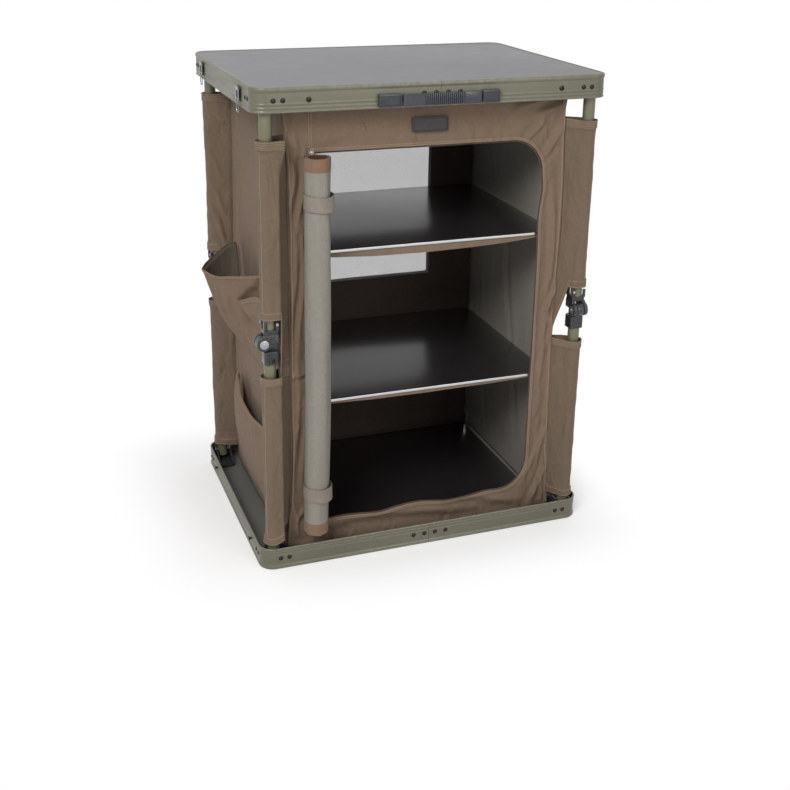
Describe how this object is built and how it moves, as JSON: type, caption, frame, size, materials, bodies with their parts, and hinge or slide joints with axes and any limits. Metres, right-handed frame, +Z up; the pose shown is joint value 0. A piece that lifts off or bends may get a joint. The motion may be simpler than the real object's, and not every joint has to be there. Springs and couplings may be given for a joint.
{
  "type": "folding camp cupboard",
  "caption": "Folding camp cupboard: shallow metal trays joined by hinged tube legs, with a fabric cabinet, shelves, side pockets and a rolled door hung between them.",
  "frame": {"origin": "middle of the base tray's underside, on the floor", "axes": "+Z up; the front, with the door and handle, faces -Y; +X to the right as seen from the front"},
  "size_m": [0.6266, 0.4651, 0.815],
  "materials": {
    "olive_metal": "olive satin anodised or powder-coated",
    "grey_panel": "grey satin laminate on board",
    "floor_grey": "dark grey laminate on board",
    "black_plastic": "black moulded nylon, fine grain",
    "steel": "plated steel, bright",
    "black_board": "black satin laminate with a bright front edge",
    "brown_fabric": "brown woven polyester, coated inside",
    "lining": "grey-green coated inner face of the cloth",
    "net": "pale fine mesh",
    "rubber": "matt moulded rubber, bare"
  },
  "bodies": {
    "base": {"base_frame": "olive_metal", "base_panel": "floor_grey", "base_splice": "steel", "bottom_board": "black_board", "catch_front_left": "steel", "catch_front_right": "steel", "catch_back_right": "steel", "catch_back_left": "steel", "base_bracket_front_left": "black_plastic", "base_bracket_front_right": "black_plastic", "base_bracket_back_right": "black_plastic", "base_bracket_back_left": "black_plastic", "cabinet_fabric": "brown_fabric", "window_net": "net", "upper_pocket": "brown_fabric", "lower_pocket": "brown_fabric"},
    "lower_leg_front_left": {"lower_tube_front_left": "olive_metal", "lower_socket_front_left": "black_plastic"},
    "upper_leg_front_left": {"upper_tube_front_left": "olive_metal", "upper_clevis_front_left": "black_plastic", "knuckle_pin_front_left": "steel"},
    "lower_leg_front_right": {"lower_tube_front_right": "olive_metal", "lower_socket_front_right": "black_plastic"},
    "upper_leg_front_right": {"upper_tube_front_right": "olive_metal", "upper_clevis_front_right": "black_plastic", "knuckle_pin_front_right": "steel"},
    "lower_leg_back_right": {"lower_tube_back_right": "olive_metal", "lower_socket_back_right": "black_plastic"},
    "upper_leg_back_right": {"upper_tube_back_right": "olive_metal", "upper_clevis_back_right": "black_plastic", "knuckle_pin_back_right": "steel"},
    "lower_leg_back_left": {"lower_tube_back_left": "olive_metal", "lower_socket_back_left": "black_plastic"},
    "upper_leg_back_left": {"upper_tube_back_left": "olive_metal", "upper_clevis_back_left": "black_plastic", "knuckle_pin_back_left": "steel"},
    "top_tray": {"top_frame": "olive_metal", "top_panel": "grey_panel", "top_splice": "steel", "handle_cap_left": "black_plastic", "handle_cap_right": "black_plastic", "handle_strap": "black_plastic", "top_bracket_front_left": "black_plastic", "top_bracket_front_right": "black_plastic", "top_bracket_back_right": "black_plastic", "top_bracket_back_left": "black_plastic"},
    "latch_front_left": {"latch_front_left": "steel"},
    "latch_front_right": {"latch_front_right": "steel"},
    "latch_back_right": {"latch_back_right": "steel"},
    "latch_back_left": {"latch_back_left": "steel"},
    "upper_shelf": {"upper_shelf": "black_board", "upper_sling": "brown_fabric"},
    "middle_shelf": {"middle_shelf": "black_board", "middle_sling": "brown_fabric"},
    "front_trim": {"zip_slider": "steel", "badge": "rubber"},
    "door_roll": {"rolled_door": "lining", "door_strap_lower": "lining", "door_strap_upper": "lining"}
  },
  "joints": [
    {"name": "fold", "type": "hinge", "parent": "base", "child": "lower_leg_front_left", "pos_m": [-0.275, -0.2025, 0.0277], "axis": [0, 1, 0], "range_deg": [0, 90], "deforming": ["cabinet_fabric", "window_net", "upper_pocket", "lower_pocket"]},
    {"name": "foot_hinge_front_right", "type": "hinge", "parent": "base", "child": "lower_leg_front_right", "pos_m": [0.275, -0.2025, 0.0277], "axis": [-1, 0, 0], "range_deg": [0, 90]},
    {"name": "foot_hinge_back_right", "type": "hinge", "parent": "base", "child": "lower_leg_back_right", "pos_m": [0.275, 0.2025, 0.0277], "axis": [0, -1, 0], "range_deg": [0, 90]},
    {"name": "foot_hinge_back_left", "type": "hinge", "parent": "base", "child": "lower_leg_back_left", "pos_m": [-0.275, 0.2025, 0.0277], "axis": [1, 0, 0], "range_deg": [0, 90]},
    {"name": "knuckle_front_left", "type": "hinge", "parent": "lower_leg_front_left", "child": "upper_leg_front_left", "pos_m": [-0.2865, -0.2025, 0.4075], "axis": [0, 1, 0], "range_deg": [-180, 0]},
    {"name": "knuckle_front_right", "type": "hinge", "parent": "lower_leg_front_right", "child": "upper_leg_front_right", "pos_m": [0.275, -0.214, 0.4075], "axis": [-1, 0, 0], "range_deg": [-180, 0]},
    {"name": "knuckle_back_right", "type": "hinge", "parent": "lower_leg_back_right", "child": "upper_leg_back_right", "pos_m": [0.2865, 0.2025, 0.4075], "axis": [0, -1, 0], "range_deg": [-180, 0]},
    {"name": "knuckle_back_left", "type": "hinge", "parent": "lower_leg_back_left", "child": "upper_leg_back_left", "pos_m": [-0.275, 0.214, 0.4075], "axis": [1, 0, 0], "range_deg": [-180, 0]},
    {"name": "top_hinge", "type": "hinge", "parent": "upper_leg_front_left", "child": "top_tray", "pos_m": [-0.275, -0.2025, 0.7873], "axis": [0, 1, 0], "range_deg": [0, 90]},
    {"name": "upper_shelf_drop", "type": "slide", "parent": "base", "child": "upper_shelf", "axis": [0, 0, -1], "range_m": [0, 0.488]},
    {"name": "middle_shelf_drop", "type": "slide", "parent": "base", "child": "middle_shelf", "axis": [0, 0, -1], "range_m": [0, 0.247]},
    {"name": "front_trim_drop", "type": "slide", "parent": "base", "child": "front_trim", "axis": [0, 0, -1], "range_m": [0, 0.683]},
    {"name": "door_tuck", "type": "slide", "parent": "base", "child": "door_roll", "axis": [0, 1, 0], "range_m": [0, 0.026], "deforming": ["rolled_door", "door_strap_lower", "door_strap_upper"]},
    {"name": "latch_hinge_front_left", "type": "hinge", "parent": "top_tray", "child": "latch_front_left", "pos_m": [-0.3022, -0.14, 0.804], "axis": [0, 1, 0], "range_deg": [0, 110]},
    {"name": "latch_hinge_front_right", "type": "hinge", "parent": "top_tray", "child": "latch_front_right", "pos_m": [0.3022, -0.14, 0.804], "axis": [0, -1, 0], "range_deg": [0, 110]},
    {"name": "latch_hinge_back_right", "type": "hinge", "parent": "top_tray", "child": "latch_back_right", "pos_m": [0.3022, 0.14, 0.804], "axis": [0, -1, 0], "range_deg": [0, 110]},
    {"name": "latch_hinge_back_left", "type": "hinge", "parent": "top_tray", "child": "latch_back_left", "pos_m": [-0.3022, 0.14, 0.804], "axis": [0, 1, 0], "range_deg": [0, 110]}
  ],
  "couplings": [
    {"joint": "foot_hinge_front_right", "follows": "fold", "ratio": 1},
    {"joint": "foot_hinge_back_right", "follows": "fold", "ratio": 1},
    {"joint": "foot_hinge_back_left", "follows": "fold", "ratio": 1},
    {"joint": "knuckle_front_left", "follows": "fold", "ratio": -2},
    {"joint": "knuckle_front_right", "follows": "fold", "ratio": -2},
    {"joint": "knuckle_back_right", "follows": "fold", "ratio": -2},
    {"joint": "knuckle_back_left", "follows": "fold", "ratio": -2},
    {"joint": "top_hinge", "follows": "fold", "ratio": 1},
    {"joint": "upper_shelf_drop", "follows": "fold", "m_per_rad": 0.31067},
    {"joint": "middle_shelf_drop", "follows": "fold", "m_per_rad": 0.15724},
    {"joint": "front_trim_drop", "follows": "fold", "m_per_rad": 0.43481},
    {"joint": "door_tuck", "follows": "fold", "m_per_rad": 0.01655}
  ]
}
